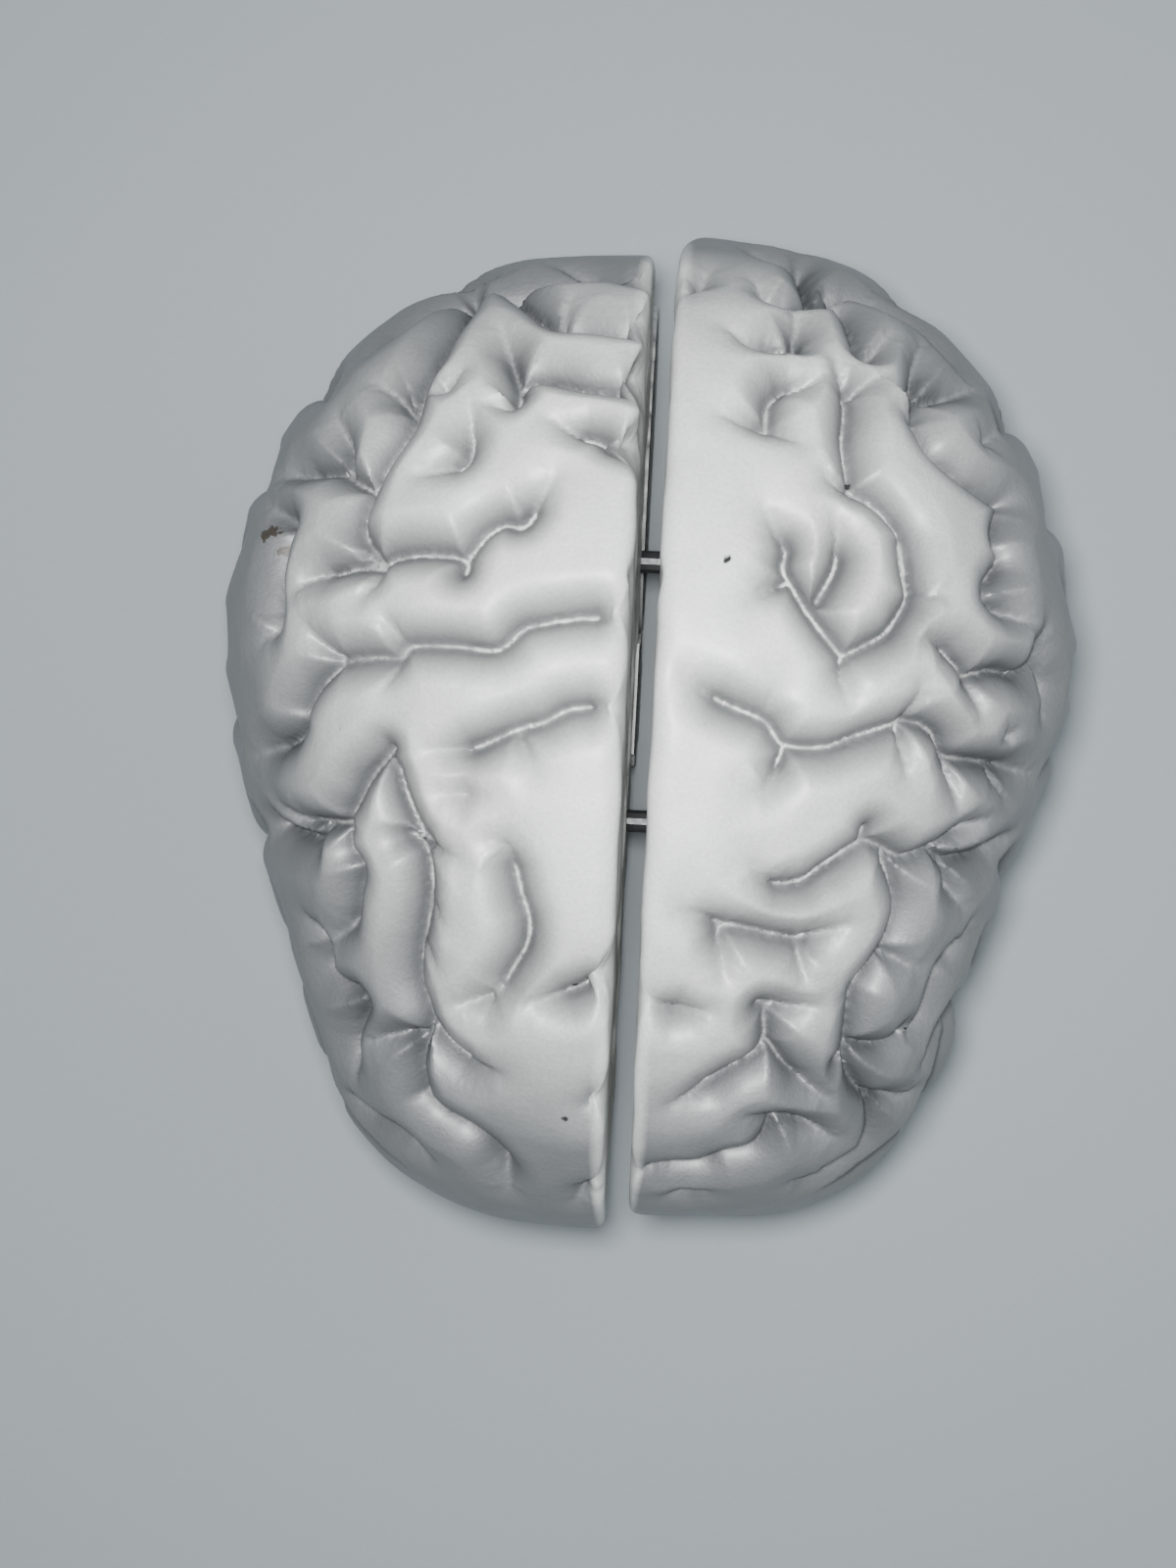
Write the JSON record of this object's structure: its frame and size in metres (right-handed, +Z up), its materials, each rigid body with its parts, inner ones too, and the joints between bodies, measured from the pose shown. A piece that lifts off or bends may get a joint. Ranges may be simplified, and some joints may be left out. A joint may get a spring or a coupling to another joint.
{
  "type": "brain anatomy model",
  "caption": "Life-size white cast brain model in separable halves, each with a push-on cerebellum half and brain stem half, standing side by side on their undersides.",
  "frame": {"origin": "middle of the footprint, at the level that the model stands on", "axes": "+Y from the frontal poles to the occipital poles, +X towards the anatomical left half, +Z up"},
  "size_m": [0.1433, 0.1709, 0.1152],
  "materials": {
    "cast_white": "hand-finished cast plastic, cool off-white, satin-matte, darker in the folds",
    "pin_steel": "turned pin"
  },
  "bodies": {
    "right_half": {"right_hemisphere": "cast_white", "locating_pin_front": "pin_steel", "locating_pin_rear": "pin_steel", "right_cerebellum_peg": "pin_steel", "right_brainstem_peg": "pin_steel"},
    "left_half": {"left_hemisphere": "cast_white", "left_cerebellum_peg": "pin_steel", "left_brainstem_peg": "pin_steel"},
    "right_cerebellum": {"right_cerebellum": "cast_white"},
    "left_cerebellum": {"left_cerebellum": "cast_white"},
    "right_brainstem": {"right_brainstem": "cast_white"},
    "left_brainstem": {"left_brainstem": "cast_white"}
  },
  "joints": [
    {"name": "halves_apart", "type": "slide", "parent": "right_half", "child": "left_half", "axis": [1, 0, 0], "range_m": [-0.0031, 0.08]},
    {"name": "right_cerebellum_pull", "type": "slide", "parent": "right_half", "child": "right_cerebellum", "axis": [0, 1, 0], "range_m": [0, 0.075]},
    {"name": "left_cerebellum_pull", "type": "slide", "parent": "left_half", "child": "left_cerebellum", "axis": [0, 1, 0], "range_m": [0, 0.075]},
    {"name": "right_brainstem_pull", "type": "slide", "parent": "right_half", "child": "right_brainstem", "axis": [0, 0, -1], "range_m": [0, 0.055]},
    {"name": "left_brainstem_pull", "type": "slide", "parent": "left_half", "child": "left_brainstem", "axis": [0, 0, -1], "range_m": [0, 0.055]}
  ]
}
